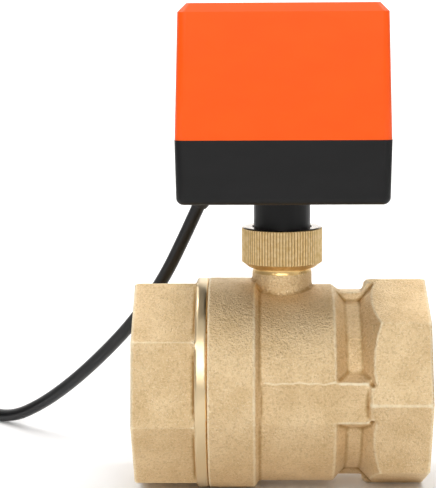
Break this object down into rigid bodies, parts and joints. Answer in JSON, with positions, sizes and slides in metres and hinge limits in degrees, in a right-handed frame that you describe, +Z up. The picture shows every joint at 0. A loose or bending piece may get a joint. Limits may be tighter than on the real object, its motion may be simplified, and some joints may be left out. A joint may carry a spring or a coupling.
{
  "type": "motorized valve actuator",
  "caption": "Threaded brass ball valve turned by a boxed electric actuator on top, held by a knurled union nut, with a control lead that ends in bare cores.",
  "frame": {"origin": "under the middle of the valve, on the surface that it stands on, the lead left out", "axes": "+X along the flow towards the body's port, +Y to the back, where the lead leaves, +Z up the stem"},
  "size_m": [0.246, 0.1595, 0.1746],
  "materials": {
    "cast_brass": "sand-blasted",
    "turned_brass": "turned, knurled",
    "chromed_ball": "polished",
    "stainless_steel": "ground",
    "white_ptfe": "satin",
    "black_rubber": "matte",
    "orange_plastic": "moulded, satin gloss",
    "black_plastic": "moulded, satin",
    "acetal": "satin",
    "zinc_steel": "zinc plated",
    "bright_steel": "ground",
    "gear_brass": "machined",
    "motor_case": "nickel plated",
    "switch_black": "moulded",
    "switch_red": "moulded",
    "board_green": "solder resist",
    "relay_blue": "moulded",
    "capacitor_yellow": "moulded",
    "connector_white": "moulded",
    "wire_insulation": "soft plastic",
    "lead_sheath": "soft plastic, satin"
  },
  "bodies": {
    "housing": {"valve_body": "cast_brass", "end_cap": "cast_brass", "body_gasket": "white_ptfe", "inlet_seat": "white_ptfe", "outlet_seat": "white_ptfe", "stem_thrust_washer": "white_ptfe", "actuator_base": "black_plastic", "actuator_neck": "black_plastic", "neck_bush": "acetal", "actuator_cover": "orange_plastic", "cover_gasket": "black_rubber", "cover_screws": "zinc_steel", "gear_plate_lower": "zinc_steel", "gear_plate_upper": "zinc_steel", "plate_standoffs": "zinc_steel", "plate_screws": "zinc_steel", "motor": "motor_case", "motor_screws": "zinc_steel", "open_switch_case": "switch_black", "closed_switch_case": "switch_black", "switch_terminals": "gear_brass", "switch_screws": "zinc_steel", "circuit_board": "board_green", "board_bracket": "zinc_steel", "relay": "relay_blue", "motor_capacitor": "capacitor_yellow", "wire_connector": "connector_white", "inner_wires": "wire_insulation", "inner_cable": "lead_sheath", "cable_grommet": "black_rubber", "cable_retainer": "connector_white", "lead_tube": "lead_sheath", "lead_coil": "lead_sheath", "lead_tail": "lead_sheath", "lead_cores": "wire_insulation", "coil_tie": "black_plastic"},
    "drive": {"ball": "chromed_ball", "stem": "stainless_steel", "stem_o_rings": "black_rubber", "output_shaft": "bright_steel", "output_gear": "acetal", "limit_cam": "acetal"},
    "idler": {"idler_shaft": "bright_steel", "idler_pinion": "gear_brass", "idler_wheel": "gear_brass"},
    "motor_output": {"motor_shaft": "bright_steel", "motor_pinion": "gear_brass"},
    "nut": {"union_nut": "turned_brass"},
    "open_plunger": {"open_switch_plunger": "switch_red"},
    "closed_plunger": {"closed_switch_plunger": "switch_red"}
  },
  "joints": [
    {"name": "valve_turn", "type": "hinge", "parent": "housing", "child": "drive", "pos_m": [0.0006, 0, 0.038], "axis": [0, 0, 1], "range_deg": [0, 90]},
    {"name": "idler_turn", "type": "hinge", "parent": "housing", "child": "idler", "pos_m": [0.02065, 0.01327, 0.135], "axis": [0, 0, 1], "range_deg": [-248, 0]},
    {"name": "motor_turn", "type": "hinge", "parent": "housing", "child": "motor_output", "pos_m": [0.00249, 0.01648, 0.139], "axis": [0, 0, 1], "range_deg": [0, 566]},
    {"name": "nut_turn", "type": "hinge", "parent": "housing", "child": "nut", "pos_m": [0.0006, 0, 0.088], "axis": [0, 0, 1], "continuous": true},
    {"name": "open_plunger_press", "type": "slide", "parent": "housing", "child": "open_plunger", "axis": [0, -1, 0], "range_m": [0, 0.0005], "stiffness_N_per_m": 1500, "springref_m": -0.0003},
    {"name": "closed_plunger_press", "type": "slide", "parent": "housing", "child": "closed_plunger", "axis": [1, 0, 0], "range_m": [0, 0.0005], "stiffness_N_per_m": 1500, "springref_m": -0.0003}
  ],
  "couplings": [
    {"joint": "idler_turn", "follows": "valve_turn", "ratio": -2.75},
    {"joint": "motor_turn", "follows": "valve_turn", "ratio": 6.2857}
  ]
}
